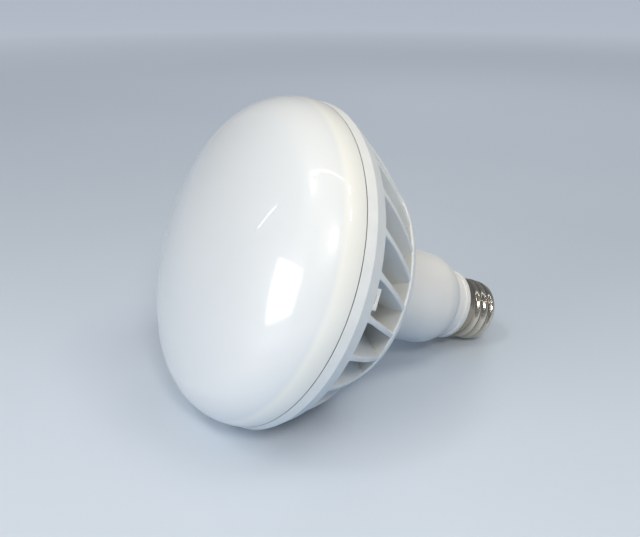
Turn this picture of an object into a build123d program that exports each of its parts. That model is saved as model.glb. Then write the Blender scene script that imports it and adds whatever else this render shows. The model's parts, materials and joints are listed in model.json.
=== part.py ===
"""Reflector lamp with light-emitting diodes and a mogul screw cap, made to replace a mercury lamp.

The lamp lies on its side, as it comes to rest: on the edge of its ring and on the end of its cap.
Sizes are in millimetres. Levels are measured along the lamp's axis from the seam under the diffuser,
plus towards the dome and minus towards the cap. Radii are measured from that axis.
"""
import os
from math import acos, asin, atan, cos, degrees, radians, sin, sqrt

from build123d import *

# Ring and heat sink
lamp_radius = 90.0
crease_drop = 5.6
seam_step = 0.8
seam_groove = 0.6
ring_back_step = 3.4
ring_wall = 4.0
ring_lip = 2.1
flange_drop = 8.0
flange_thickness = 3.5
shoulder_radius = 63.1
shoulder_drop = 41.1
rim_width = 3.2
disc_dish = 1.0
core_wall = 3.5
core_sink = 2.3
back_thickness = 5.0
back_land = 2.0
seat_margin = 1.5
fin_count = 26
fin_thickness = 3.0
fin_drop = 0.5
fin_root = 1.0
fin_tilt = 20.0
fin_turn = 11.5

# Diffuser
crown_radius = 180.0
corner_radius = 28.8
diffuser_wall = 2.4
skirt_clearance = 0.2
hook_width = 12.0
hook_thickness = 1.6
hook_inset = 0.4
hook_reach = 11.5
hook_root = 2.0
hook_barb = 3.2
hook_hold = 1.2
hook_play = 0.5
hook_turn = 9.3
hook_eye_width = 4.0
hook_eye_height = 1.6

# Mogul screw cap
cap_root_radius = 18.0
thread_depth = 1.75
cap_pitch = 6.35
cap_wall = 0.6
cap_length = 26.2
cap_bead = 1.4
cap_band = 3.2
cap_band_slope = 0.6
cap_turn_in = 4.0
shell_lip = 0.6
shell_lip_height = 0.8
thread_rise = 4.0
thread_turns = 2.2
thread_half_width = 2.54
insulator_foot = 2.5
insulator_step = 0.8
insulator_lip = 0.8
insulator_length = 6.8
contact_radius = 7.6
contact_round = 1.6
contact_height = 4.1
stem_radius = 2.5
stem_length = 16.5

# Driver housing, which is the neck of the lamp
neck_radius = 28.6
neck_wall = 2.6
neck_clearance = 0.2
neck_flange_width = 9.4
neck_flange_thickness = 3.0
neck_length = 62.0
neck_round_length = 14.0
neck_inner_ease = 2.0
neck_floor = 1.0
collar_cover = 4.3
collar_step = 1.3
collar_groove = 0.5
collar_groove_length = 5.2
collar_lip_length = 4.2
collar_round = 1.0
spigot_wall = 2.0
spigot_gap = 5.5
rail_width = 5.2
rail_depth = 2.5
rail_foot = 2.0

# Light engine
plate_clearance = 0.8
plate_thickness = 2.5
light_board_radius = 60.0
light_board_thickness = 1.6
diode_side = 5.0
diode_height = 0.9
diode_margin = 6.0
diode_ring_pitch = 15.0
diode_ring_counts = (20, 14, 8)
connector_width = 12.0
connector_depth = 8.0
connector_height = 5.0
connector_gap = 3.0
wire_hole_radius = 6.0

# Driver: places are measured along the board from its lower end, shifts across it from its middle
board_margin = 3.0
board_clearance = 0.05
board_thickness = 1.6
board_sink = 3.0
board_rise = 10.0
coil_place = 44.0
coil_width = 14.0
coil_height = 14.0
coil_length = 19.0
coil_round = 2.0
core_length = 11.0
core_leg = 4.0
can_radius = 6.5
can_shift = 10.0
input_can_place = 4.0
input_can_length = 25.0
output_can_place = 58.0
output_can_length = 16.0
film_place = 4.0
film_shift = 0.5
film_width = 6.0
film_height = 11.0
film_length = 13.0
film_round = 0.8
filter_place = 12.0
filter_shift = 11.0
filter_radius = 5.0
filter_height = 10.0
bridge_place = 12.0
bridge_shift = 7.0
bridge_width = 8.0
bridge_length = 6.0
bridge_height = 3.0
chip_place = 38.0
chip_shift = 4.0
chip_width = 6.0
chip_length = 5.0
chip_height = 1.8
fuse_place = 6.0
fuse_shift = 9.0
fuse_radius = 2.2
fuse_length = 10.0

# Leads
wire_radius = 0.8
lead_gap = 2.2
lead_bend = 3.0
lead_rise = 6.0
lead_reach = 8.0
lead_bow = 5.0
shell_lead_shift = 9.0
shell_lead_drop = 2.5

# Screws: a pan head is so many times as wide and as high as the shank's radius
screw_head_width = 2.0
screw_head_height = 1.4
screw_clearance = 0.2
plate_screw_inset = 6.8
plate_screw_radius = 1.5
plate_screw_count = 4
plate_screw_floor = 0.5
plate_screw_gap = 0.3
light_screw_radius = 1.25
light_screw_count = 3
neck_screw_inset = 4.3
neck_screw_radius = 1.6
neck_screw_count = 3
neck_screw_depth = 4.0
neck_screw_gap = 0.5

# Radii, from the ring inwards and from the cap outwards
seam_radius = lamp_radius - seam_step
ring_back_radius = lamp_radius - ring_back_step
ring_inner_radius = seam_radius - ring_wall
skirt_outer = ring_inner_radius - skirt_clearance
skirt_inner = skirt_outer - diffuser_wall
plate_radius = skirt_inner - plate_clearance
plate_screw_circle = plate_radius - plate_screw_inset
neck_opening = neck_radius + neck_clearance
neck_bore = neck_radius - neck_wall
neck_flange_radius = neck_radius + neck_flange_width
neck_screw_circle = neck_flange_radius - neck_screw_inset
core_bore = neck_flange_radius + seat_margin
core_radius = core_bore + core_wall
board_half_width = neck_bore - board_margin
collar_radius = cap_root_radius + collar_cover
neck_end_radius = collar_radius + collar_step
cap_bore = cap_root_radius - cap_wall
cap_end_radius = cap_root_radius + cap_bead
cap_mouth_radius = cap_bore - cap_turn_in
insulator_tip_radius = contact_radius + insulator_lip

# Levels, from the seam to the tip of the cap
crease_level = -crease_drop
flange_front = -flange_drop
flange_back = flange_front - flange_thickness
ring_back_level = flange_back - ring_lip
shoulder_level = ring_back_level - shoulder_drop
core_floor_level = shoulder_level - core_sink
back_level = core_floor_level - back_thickness
neck_flange_top = core_floor_level + neck_flange_thickness
neck_round_level = core_floor_level - neck_length
neck_end_level = neck_round_level - neck_round_length
collar_lip_level = neck_end_level - collar_groove_length
collar_end_level = collar_lip_level - collar_lip_length
cap_end_level = collar_end_level - cap_length
thread_start_level = cap_end_level + thread_rise
insulator_top = cap_end_level + cap_wall + insulator_foot
insulator_tip_level = cap_end_level - insulator_length
tip_level = insulator_tip_level - contact_height
stem_top = tip_level + stem_length
spigot_end_level = insulator_top + spigot_gap
board_low_level = neck_round_level - board_sink
board_top_level = neck_flange_top + board_rise
plate_top = flange_front + plate_thickness
light_board_top = plate_top + light_board_thickness

# How the lamp lies: the lower edge of the ring and the round end of the cap both touch the floor
cap_round = cap_band / 2


def rest_tilt(radius, level):
    """The axis's slope when an edge of the ring and the end of the cap lie on the floor."""
    rise = radius - cap_end_radius + cap_round
    run = level - cap_end_level - cap_round
    return acos(cap_round / sqrt(rise ** 2 + run ** 2)) - atan(run / rise)


tilt = max(rest_tilt(lamp_radius, crease_level), rest_tilt(ring_back_radius, ring_back_level))
crease_height = lamp_radius * cos(tilt) - crease_level * sin(tilt)
ring_back_height = ring_back_radius * cos(tilt) - ring_back_level * sin(tilt)
axis_height = max(crease_height, ring_back_height)
crown_centre = -sqrt((crown_radius - corner_radius) ** 2 - (seam_radius - corner_radius) ** 2)
crown_edge = asin((seam_radius - corner_radius) / (crown_radius - corner_radius))
apex_level = crown_radius + crown_centre
crown_reach = crown_radius + crown_centre * cos(tilt)
corner_reach = (seam_radius - corner_radius) * sin(tilt) + corner_radius
front_reach = crown_reach if tilt < crown_edge else corner_reach
contact_flat = contact_radius - contact_round
back_reach = contact_flat * sin(tilt) - (tip_level + contact_round) * cos(tilt) + contact_round
lamp_origin = (0, (front_reach - back_reach) / 2, axis_height)
lamp = Plane(origin=lamp_origin, x_dir=(1, 0, 0), z_dir=(0, -cos(tilt), sin(tilt)))
section = Plane(origin=lamp_origin, x_dir=(1, 0, 0), z_dir=(0, -sin(tilt), -cos(tilt)))
axis = Axis(lamp_origin, (0, -cos(tilt), sin(tilt)))


def turned(angle):
    """The plane across the lamp's axis, with its first direction turned by an angle in degrees."""
    first = lamp.x_dir * cos(radians(angle)) + lamp.y_dir * sin(radians(angle))
    return Plane(origin=lamp.origin, x_dir=first, z_dir=lamp.z_dir)


# Back disc, fins and hooks
cone_slope = (ring_back_radius - shoulder_radius) / (ring_back_level - shoulder_level)
rim_level = shoulder_level + rim_width
rim_radius = shoulder_radius + cone_slope * rim_width
disc_foot_level = rim_level - disc_dish
fin_middle = (ring_back_level + shoulder_level) / 2
fin_length = (flange_front - shoulder_level) / cos(radians(fin_tilt)) + fin_thickness
hook_inner = skirt_inner + hook_inset
hook_slot_inner = hook_inner - hook_barb + hook_hold
hook_planes = [turned(hook_turn + cell * 360 / fin_count) for cell in (0, 7, 13, 20)]
hook_sides = [Plane(origin=p.origin, x_dir=p.x_dir, z_dir=-p.y_dir) for p in hook_planes]

os.makedirs("parts", exist_ok=True)

# Heat sink: one fin is trimmed to the cone between ring and back disc, then repeated round the core
fin_base = turned(fin_turn).offset(fin_middle)
fin_normal = fin_base.z_dir * sin(radians(fin_tilt)) - fin_base.y_dir * cos(radians(fin_tilt))
fin_plane = Plane(origin=fin_base.origin, x_dir=fin_base.x_dir, z_dir=fin_normal)
with BuildPart() as fin:
    with BuildSketch(fin_plane):
        with Locations((lamp_radius / 2, 0)):
            Rectangle(lamp_radius, fin_length)
    extrude(amount=fin_thickness / 2, both=True)
    with BuildSketch(section):
        with BuildLine():
            Polyline(
                (core_radius - core_wall / 2, flange_back + fin_root),
                (ring_back_radius - fin_drop, flange_back + fin_root),
                (ring_back_radius - fin_drop, ring_back_level),
                (rim_radius - fin_drop, rim_level),
                (rim_radius - fin_drop - fin_root, rim_level - fin_root),
                (core_radius - core_wall / 2, disc_foot_level - fin_root),
                close=True,
            )
        make_face()
    revolve(axis=axis, mode=Mode.INTERSECT)

with BuildPart() as heat_sink:
    with BuildSketch(section):
        with BuildLine():
            Polyline(
                (seam_radius - seam_groove, 0),
                (seam_radius, -seam_groove),
                (lamp_radius, crease_level),
                (ring_back_radius, ring_back_level),
                (ring_inner_radius, ring_back_level),
                (ring_inner_radius, flange_back),
                (core_radius, flange_back),
                (core_radius, disc_foot_level),
                (rim_radius, rim_level),
                (shoulder_radius, shoulder_level),
                (neck_opening + back_land, back_level),
                (neck_opening, back_level),
                (neck_opening, core_floor_level),
                (core_bore, core_floor_level),
                (core_bore, flange_front),
                (ring_inner_radius, flange_front),
                (ring_inner_radius, 0),
                close=True,
            )
        make_face()
    revolve(axis=axis)
    add([fin.part.rotate(axis, turn * 360 / fin_count) for turn in range(fin_count)])
    with BuildSketch(*[plane.offset(flange_front) for plane in hook_planes]):
        with Locations(((hook_slot_inner + ring_inner_radius) / 2, 0)):
            Rectangle(ring_inner_radius - hook_slot_inner, hook_width + 2 * hook_play)
    extrude(amount=-flange_thickness, mode=Mode.SUBTRACT)
    with BuildSketch(lamp.offset(flange_front)):
        with PolarLocations(plate_screw_circle, plate_screw_count):
            Circle(plate_screw_radius)
    extrude(amount=plate_screw_floor - flange_thickness, mode=Mode.SUBTRACT)
    with BuildSketch(lamp.offset(core_floor_level)):
        with PolarLocations(neck_screw_circle, neck_screw_count):
            Circle(neck_screw_radius)
    extrude(amount=-neck_screw_depth, mode=Mode.SUBTRACT)
heat_sink.part.label = "heat_sink"
export_step(heat_sink.part, "parts/heat_sink.step")

# Diffuser: a moulded dome with a skirt inside the ring and four hooks through the flange
inner_corner = corner_radius - diffuser_wall
crown_sweep = degrees(crown_edge)
groove_angle = degrees(asin(seam_groove / corner_radius))
ledge_angle = degrees(asin(diffuser_wall / inner_corner))
corner_centre = seam_radius - corner_radius
ledge_radius = corner_centre + inner_corner * cos(radians(ledge_angle))
groove_radius = corner_centre + corner_radius * cos(radians(groove_angle))
with BuildPart() as diffuser:
    with BuildSketch(section):
        with BuildLine():
            CenterArc((0, crown_centre), crown_radius, 90 - crown_sweep, crown_sweep)
            CenterArc((corner_centre, 0), corner_radius, groove_angle, 90 - crown_sweep - groove_angle)
            Polyline(
                (groove_radius, seam_groove),
                (seam_radius - seam_groove, 0),
                (skirt_outer, 0),
                (skirt_outer, flange_front),
                (skirt_inner, flange_front),
                (skirt_inner, diffuser_wall),
                (ledge_radius, diffuser_wall),
            )
            CenterArc((corner_centre, 0), inner_corner, ledge_angle, 90 - crown_sweep - ledge_angle)
            CenterArc((0, crown_centre), crown_radius - diffuser_wall, 90 - crown_sweep, crown_sweep)
            Line((0, apex_level - diffuser_wall), (0, apex_level))
        make_face()
    revolve(axis=axis)
    with BuildSketch(*hook_sides):
        with BuildLine():
            Polyline(
                (hook_inner, flange_front + hook_root),
                (hook_inner, flange_back),
                (hook_inner - hook_barb, flange_back),
                (hook_inner, flange_back - 1.5 * hook_barb),
                (hook_inner, flange_front - hook_reach),
                (hook_inner + hook_thickness, flange_front - hook_reach),
                (hook_inner + hook_thickness, flange_front + hook_root),
                close=True,
            )
        make_face()
    extrude(amount=hook_width / 2, both=True)
    eye_level = flange_front - hook_reach + 2 * hook_eye_height
    with BuildSketch(*[plane.offset(eye_level) for plane in hook_planes]):
        with Locations((hook_inner + hook_thickness / 2, 0)):
            Rectangle(2 * hook_thickness, hook_eye_width)
    extrude(amount=-hook_eye_height, mode=Mode.SUBTRACT)
diffuser.part.label = "diffuser"
export_step(diffuser.part, "parts/diffuser.step")

# Driver housing: flange in the core, neck through the back, collar and spigot for the cap
board_slot = board_half_width + board_clearance
rail_low_level = board_low_level - rail_foot
with BuildPart() as driver_housing:
    with BuildSketch(section):
        with BuildLine():
            Polyline(
                (neck_bore, neck_flange_top),
                (neck_flange_radius, neck_flange_top),
                (neck_flange_radius, core_floor_level),
                (neck_radius, core_floor_level),
                (neck_radius, neck_round_level),
            )
            TangentArc((neck_radius, neck_round_level), (neck_end_radius, neck_end_level), tangent=(0, -1))
            Polyline(
                (neck_end_radius, neck_end_level),
                (collar_radius - collar_groove, neck_end_level),
                (collar_radius - collar_groove, collar_lip_level),
                (collar_radius, collar_lip_level),
                (collar_radius, collar_end_level + collar_round),
            )
            TangentArc(
                (collar_radius, collar_end_level + collar_round),
                (collar_radius - collar_round, collar_end_level),
                tangent=(0, -1),
            )
            Polyline(
                (collar_radius - collar_round, collar_end_level),
                (cap_bore, collar_end_level),
                (cap_bore, spigot_end_level),
                (cap_bore - spigot_wall, spigot_end_level),
                (cap_bore - spigot_wall, collar_end_level + neck_inner_ease),
                (neck_end_radius - neck_wall - neck_floor, neck_end_level + neck_floor),
                (neck_bore, neck_round_level - neck_inner_ease),
                (neck_bore, neck_flange_top),
            )
        make_face()
    revolve(axis=axis)
    with BuildSketch(lamp.offset(rail_low_level)):
        with GridLocations(2 * neck_bore, 0, 2, 1):
            Rectangle(2 * (neck_bore - board_slot + rail_depth), rail_width)
        with Locations((0, 0)):
            Circle(neck_bore + neck_wall / 2, mode=Mode.INTERSECT)
    extrude(amount=neck_flange_top - rail_low_level)
    with BuildSketch(lamp.offset(board_low_level)):
        Rectangle(2 * board_slot, board_thickness)
    extrude(amount=neck_flange_top - board_low_level, mode=Mode.SUBTRACT)
    with BuildSketch(lamp.offset(neck_flange_top)):
        with PolarLocations(neck_screw_circle, neck_screw_count):
            Circle(neck_screw_radius + screw_clearance)
    extrude(amount=-neck_flange_thickness, mode=Mode.SUBTRACT)
driver_housing.part.label = "driver_housing"
export_step(driver_housing.part, "parts/driver_housing.step")

# Screw shell: a drawn shell with a rolled round thread and a turned-in end
thread_foot = lamp.offset(thread_start_level).origin
with BuildPart() as screw_shell:
    with BuildSketch(section):
        with BuildLine():
            Polyline(
                (cap_bore, collar_end_level),
                (cap_root_radius + shell_lip, collar_end_level),
                (cap_root_radius, collar_end_level - shell_lip_height),
                (cap_root_radius, cap_end_level + cap_band + cap_band_slope),
                (cap_end_radius, cap_end_level + cap_band),
                (cap_end_radius, cap_end_level + cap_round),
            )
            TangentArc(
                (cap_end_radius, cap_end_level + cap_round),
                (cap_end_radius - cap_round, cap_end_level),
                tangent=(0, -1),
            )
            Polyline(
                (cap_end_radius - cap_round, cap_end_level),
                (cap_mouth_radius, cap_end_level),
                (cap_mouth_radius, cap_end_level + cap_wall),
                (cap_bore, cap_end_level + cap_wall),
                (cap_bore, collar_end_level),
            )
        make_face()
    revolve(axis=axis)
    with BuildLine() as thread_path:
        Helix(cap_pitch, thread_turns * cap_pitch, cap_root_radius, thread_foot, axis.direction)
    thread_out = thread_path.line @ 0 - thread_foot
    with BuildSketch(Plane(thread_path.line @ 0, x_dir=thread_out, z_dir=thread_path.line % 0)):
        with BuildLine():
            ThreePointArc(
                (-cap_wall / 2, -thread_half_width),
                (thread_depth, 0),
                (-cap_wall / 2, thread_half_width),
            )
            Line((-cap_wall / 2, thread_half_width), (-cap_wall / 2, -thread_half_width))
        make_face()
    sweep(path=thread_path.line, is_frenet=True)
screw_shell.part.label = "screw_shell"
export_step(screw_shell.part, "parts/screw_shell.step")

# Insulator between the shell and the centre contact
with BuildPart() as base_insulator:
    with BuildSketch(section):
        with BuildLine():
            Polyline(
                (stem_radius, insulator_top),
                (cap_bore, insulator_top),
                (cap_bore, cap_end_level + cap_wall),
                (cap_mouth_radius, cap_end_level + cap_wall),
                (cap_mouth_radius, cap_end_level - insulator_step),
            )
            TangentArc(
                (cap_mouth_radius, cap_end_level - insulator_step),
                (insulator_tip_radius, insulator_tip_level),
                tangent=(0, -1),
            )
            Polyline(
                (insulator_tip_radius, insulator_tip_level),
                (stem_radius, insulator_tip_level),
                (stem_radius, insulator_top),
            )
        make_face()
    revolve(axis=axis)
base_insulator.part.label = "base_insulator"
export_step(base_insulator.part, "parts/base_insulator.step")

# Centre contact: a flat button on a stem
with BuildPart() as centre_contact:
    with BuildSketch(section):
        with BuildLine():
            Polyline(
                (0, stem_top),
                (stem_radius, stem_top),
                (stem_radius, insulator_tip_level),
                (contact_radius, insulator_tip_level),
                (contact_radius, tip_level + contact_round),
            )
            TangentArc(
                (contact_radius, tip_level + contact_round),
                (contact_flat, tip_level),
                tangent=(0, -1),
            )
            Polyline((contact_flat, tip_level), (0, tip_level), (0, stem_top))
        make_face()
    revolve(axis=axis)
centre_contact.part.label = "centre_contact"
export_step(centre_contact.part, "parts/centre_contact.step")

# Circles of the diodes, and of the light board's screws between the two inner rings of diodes
diode_ring_radius = light_board_radius - diode_margin
light_screw_circle = diode_ring_radius - 1.5 * diode_ring_pitch

# Carrier plate that closes the core and takes the heat of the light board
with BuildPart() as carrier_plate:
    with BuildSketch(lamp.offset(flange_front)):
        Circle(plate_radius)
        Circle(wire_hole_radius, mode=Mode.SUBTRACT)
        with PolarLocations(plate_screw_circle, plate_screw_count):
            Circle(plate_screw_radius + screw_clearance, mode=Mode.SUBTRACT)
        with PolarLocations(light_screw_circle, light_screw_count):
            Circle(light_screw_radius, mode=Mode.SUBTRACT)
    extrude(amount=plate_thickness)
carrier_plate.part.label = "carrier_plate"
export_step(carrier_plate.part, "parts/carrier_plate.step")

# Light board with its diodes and wire connector
with BuildPart() as light_board:
    with BuildSketch(lamp.offset(plate_top)):
        Circle(light_board_radius)
        Circle(wire_hole_radius, mode=Mode.SUBTRACT)
        with PolarLocations(light_screw_circle, light_screw_count):
            Circle(light_screw_radius + screw_clearance, mode=Mode.SUBTRACT)
    extrude(amount=light_board_thickness)
light_board.part.label = "light_board"
export_step(light_board.part, "parts/light_board.step")

with BuildPart() as diodes:
    with BuildSketch(lamp.offset(light_board_top)):
        for ring, ring_count in enumerate(diode_ring_counts):
            with PolarLocations(diode_ring_radius - ring * diode_ring_pitch, ring_count):
                Rectangle(diode_side, diode_side)
    extrude(amount=diode_height)
diodes.part.label = "diodes"
export_step(diodes.part, "parts/diodes.step")

connector_front = wire_hole_radius + connector_gap
with BuildPart() as wire_connector:
    with BuildSketch(lamp.offset(light_board_top)):
        with Locations((0, connector_front + connector_depth / 2)):
            Rectangle(connector_width, connector_depth)
    extrude(amount=connector_height)
wire_connector.part.label = "wire_connector"
export_step(wire_connector.part, "parts/wire_connector.step")

# Screws: a pan head and a plain shank each
with BuildPart() as plate_screws:
    with BuildSketch(lamp.offset(plate_top)):
        with PolarLocations(plate_screw_circle, plate_screw_count):
            Circle(screw_head_width * plate_screw_radius)
    extrude(amount=screw_head_height * plate_screw_radius)
    with BuildSketch(lamp.offset(plate_top)):
        with PolarLocations(plate_screw_circle, plate_screw_count):
            Circle(plate_screw_radius)
    extrude(amount=plate_screw_floor + plate_screw_gap - plate_thickness - flange_thickness)
plate_screws.part.label = "plate_screws"
export_step(plate_screws.part, "parts/plate_screws.step")

with BuildPart() as light_board_screws:
    with BuildSketch(lamp.offset(light_board_top)):
        with PolarLocations(light_screw_circle, light_screw_count):
            Circle(screw_head_width * light_screw_radius)
    extrude(amount=screw_head_height * light_screw_radius)
    with BuildSketch(lamp.offset(light_board_top)):
        with PolarLocations(light_screw_circle, light_screw_count):
            Circle(light_screw_radius)
    extrude(amount=-light_board_thickness - plate_thickness)
light_board_screws.part.label = "light_board_screws"
export_step(light_board_screws.part, "parts/light_board_screws.step")

with BuildPart() as housing_screws:
    with BuildSketch(lamp.offset(neck_flange_top)):
        with PolarLocations(neck_screw_circle, neck_screw_count):
            Circle(screw_head_width * neck_screw_radius)
    extrude(amount=screw_head_height * neck_screw_radius)
    with BuildSketch(lamp.offset(neck_flange_top)):
        with PolarLocations(neck_screw_circle, neck_screw_count):
            Circle(neck_screw_radius)
    extrude(amount=neck_screw_gap - neck_flange_thickness - neck_screw_depth)
housing_screws.part.label = "housing_screws"
export_step(housing_screws.part, "parts/housing_screws.step")

# Driver board in the rails of the housing, and the pieces on it
board_face = board_thickness / 2
with BuildPart() as driver_board:
    with BuildSketch(lamp.offset(board_low_level)):
        Rectangle(2 * board_half_width, board_thickness)
    extrude(amount=board_top_level - board_low_level)
driver_board.part.label = "driver_board"
export_step(driver_board.part, "parts/driver_board.step")

coil_level = board_low_level + coil_place
with BuildPart() as transformer_coil:
    with BuildSketch(lamp.offset(coil_level - coil_length / 2)):
        with Locations((0, board_face + coil_height / 2)):
            RectangleRounded(coil_width, coil_height, coil_round)
    extrude(amount=coil_length)
transformer_coil.part.label = "transformer_coil"
export_step(transformer_coil.part, "parts/transformer_coil.step")

with BuildPart() as transformer_core:
    with BuildSketch(lamp.offset(coil_level - core_length / 2)):
        with Locations((0, board_face + coil_height / 2 + core_leg / 2)):
            Rectangle(coil_width + 2 * core_leg, coil_height)
        with Locations((0, board_face + coil_height / 2)):
            RectangleRounded(coil_width, coil_height, coil_round, mode=Mode.SUBTRACT)
    extrude(amount=core_length)
transformer_core.part.label = "transformer_core"
export_step(transformer_core.part, "parts/transformer_core.step")

with BuildPart() as input_capacitor:
    with BuildSketch(lamp.offset(board_low_level + input_can_place)):
        with Locations((-can_shift, board_face + can_radius)):
            Circle(can_radius)
    extrude(amount=input_can_length)
input_capacitor.part.label = "input_capacitor"
export_step(input_capacitor.part, "parts/input_capacitor.step")

with BuildPart() as output_capacitor:
    with BuildSketch(lamp.offset(board_low_level + output_can_place)):
        with Locations((can_shift, board_face + can_radius)):
            Circle(can_radius)
    extrude(amount=output_can_length)
output_capacitor.part.label = "output_capacitor"
export_step(output_capacitor.part, "parts/output_capacitor.step")

with BuildPart() as film_capacitor:
    with BuildSketch(lamp.offset(board_low_level + film_place)):
        with Locations((film_shift, board_face + film_height / 2)):
            RectangleRounded(film_width, film_height, film_round)
    extrude(amount=film_length)
film_capacitor.part.label = "film_capacitor"
export_step(film_capacitor.part, "parts/film_capacitor.step")

board_top_face = section.offset(-board_face)
board_low_face = section.offset(board_face)
with BuildPart() as filter_coil:
    with BuildSketch(board_top_face):
        with Locations((filter_shift, board_low_level + filter_place)):
            Circle(filter_radius)
    extrude(amount=-filter_height)
filter_coil.part.label = "filter_coil"
export_step(filter_coil.part, "parts/filter_coil.step")

with BuildPart() as bridge_rectifier:
    with BuildSketch(board_low_face):
        with Locations((-bridge_shift, board_low_level + bridge_place)):
            Rectangle(bridge_width, bridge_length)
    extrude(amount=bridge_height)
bridge_rectifier.part.label = "bridge_rectifier"
export_step(bridge_rectifier.part, "parts/bridge_rectifier.step")

with BuildPart() as driver_chip:
    with BuildSketch(board_low_face):
        with Locations((chip_shift, board_low_level + chip_place)):
            Rectangle(chip_width, chip_length)
    extrude(amount=chip_height)
driver_chip.part.label = "driver_chip"
export_step(driver_chip.part, "parts/driver_chip.step")

with BuildPart() as fuse_resistor:
    with BuildSketch(lamp.offset(board_low_level + fuse_place)):
        with Locations((fuse_shift, -board_face - fuse_radius)):
            Circle(fuse_radius)
    extrude(amount=fuse_length)
fuse_resistor.part.label = "fuse_resistor"
export_step(fuse_resistor.part, "parts/fuse_resistor.step")

# Leads: two to the diodes, one from the centre contact and one from the shell
wire_level = light_board_top + connector_height / 2
with BuildPart() as diode_lead_plus:
    with BuildLine(lamp) as plus_path:
        FilletPolyline(
            (2 * lead_gap, 0, board_top_level),
            (2 * lead_gap, 0, board_top_level + lead_rise),
            (lead_gap, 0, flange_front - lead_reach),
            (lead_gap, 0, wire_level),
            (lead_gap, connector_front, wire_level),
            radius=lead_bend,
        )
    with BuildSketch(lamp.offset(board_top_level)):
        with Locations((2 * lead_gap, 0)):
            Circle(wire_radius)
    sweep(path=plus_path.line)
diode_lead_plus.part.label = "diode_lead_plus"
export_step(diode_lead_plus.part, "parts/diode_lead_plus.step")

with BuildPart() as diode_lead_minus:
    with BuildLine(lamp) as minus_path:
        FilletPolyline(
            (-2 * lead_gap, 0, board_top_level),
            (-2 * lead_gap, 0, board_top_level + lead_rise),
            (-lead_gap, 0, flange_front - lead_reach),
            (-lead_gap, 0, wire_level),
            (-lead_gap, connector_front, wire_level),
            radius=lead_bend,
        )
    with BuildSketch(lamp.offset(board_top_level)):
        with Locations((-2 * lead_gap, 0)):
            Circle(wire_radius)
    sweep(path=minus_path.line)
diode_lead_minus.part.label = "diode_lead_minus"
export_step(diode_lead_minus.part, "parts/diode_lead_minus.step")

lead_drop = board_low_level - stem_top
with BuildPart() as live_lead:
    with BuildLine(lamp) as live_path:
        FilletPolyline(
            (0, 0, stem_top),
            (0, 0, stem_top + 0.2 * lead_drop),
            (0, lead_bow, stem_top + 0.4 * lead_drop),
            (0, lead_bow, stem_top + 0.6 * lead_drop),
            (0, 0, stem_top + 0.8 * lead_drop),
            (0, 0, board_low_level),
            radius=lead_bend,
        )
    with BuildSketch(lamp.offset(stem_top)):
        Circle(wire_radius)
    sweep(path=live_path.line)
live_lead.part.label = "live_lead"
export_step(live_lead.part, "parts/live_lead.step")

shell_touch = sqrt(cap_bore ** 2 - wire_radius ** 2)
with BuildPart() as shell_lead:
    with BuildLine(lamp) as shell_path:
        FilletPolyline(
            (-shell_lead_shift, 0, board_low_level),
            (-shell_lead_shift, 0, spigot_end_level - shell_lead_drop),
            (-shell_touch, 0, spigot_end_level - shell_lead_drop),
            radius=lead_bend,
        )
    with BuildSketch(lamp.offset(board_low_level)):
        with Locations((-shell_lead_shift, 0)):
            Circle(wire_radius)
    sweep(path=shell_path.line)
shell_lead.part.label = "shell_lead"
export_step(shell_lead.part, "parts/shell_lead.step")
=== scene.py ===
# %% [markdown]
# # A reflector lamp for a screw holder
# The lamp lies on its side: a milky dome at one end, a white ring with slanted cooling fins behind it,
# a plastic neck and a large nickel screw cap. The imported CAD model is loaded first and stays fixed.
# The outer pieces are then built again in finer mesh, at the CAD's sizes or within a few millimetres of
# them, so that their edges are eased and their circles are smooth. Each takes the place of its CAD node.

# %% Load the frame
import json
from math import asin, atan2, cos, degrees, exp, hypot, pi, radians, sin, sqrt, tan

import bmesh
import bpy
from mathutils import Matrix, Vector


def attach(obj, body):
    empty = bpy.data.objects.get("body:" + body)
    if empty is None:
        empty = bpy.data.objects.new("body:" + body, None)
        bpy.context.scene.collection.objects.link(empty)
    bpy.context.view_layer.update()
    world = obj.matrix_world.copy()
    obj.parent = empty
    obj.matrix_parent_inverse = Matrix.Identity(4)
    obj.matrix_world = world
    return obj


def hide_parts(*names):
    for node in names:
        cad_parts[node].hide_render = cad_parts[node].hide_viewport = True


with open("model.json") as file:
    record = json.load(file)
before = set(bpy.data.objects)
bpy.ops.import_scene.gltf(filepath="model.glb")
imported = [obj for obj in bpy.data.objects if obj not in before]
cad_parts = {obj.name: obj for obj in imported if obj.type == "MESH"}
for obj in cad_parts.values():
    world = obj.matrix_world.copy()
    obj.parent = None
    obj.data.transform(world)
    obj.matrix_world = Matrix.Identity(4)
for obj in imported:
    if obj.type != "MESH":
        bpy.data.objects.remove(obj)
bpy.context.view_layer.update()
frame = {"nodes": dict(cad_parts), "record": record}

# %% [markdown]
# ## The lamp's own axis
# Nearly everything on this lamp is turned, so it is easiest to give each point a radius from the axis, a
# level along it and an angle round it. The level is 0 at the seam under the dome, plus towards the dome
# and minus towards the cap, in millimetres, as on the CAD drawing. One function turns those three numbers
# into a point in metres. The axis slopes because the lamp rests on its ring and on the end of its cap.

# %% A point from radius, level and angle
millimetre = 0.001
lamp_tilt = 0.41208932438935264
seam_point = Vector((0.0, -0.05700936982700626, 0.0847975022074365))
along = Vector((0.0, -cos(lamp_tilt), sin(lamp_tilt)))
across = Vector((1.0, 0.0, 0.0))
upward = along.cross(across)


def lamp_point(radius, level, angle):
    """Radius and level in millimetres, angle in degrees from +X towards the upper side."""
    out = across * cos(radians(angle)) + upward * sin(radians(angle))
    return seam_point + (along * level + out * radius) * millimetre


contact_end = -179.5
print("tip of the cap", [round(v, 4) for v in lamp_point(0, contact_end, 0)])

# %% [markdown]
# ## The camera
# The photograph was taken from in front of the dome's right side, a little above. The camera's place and
# lens come from the outlines of the ring, the shoulder and the cap in the picture, so it is set by numbers
# instead of by eye. The three directions of its view fill the columns of its matrix.

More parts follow.
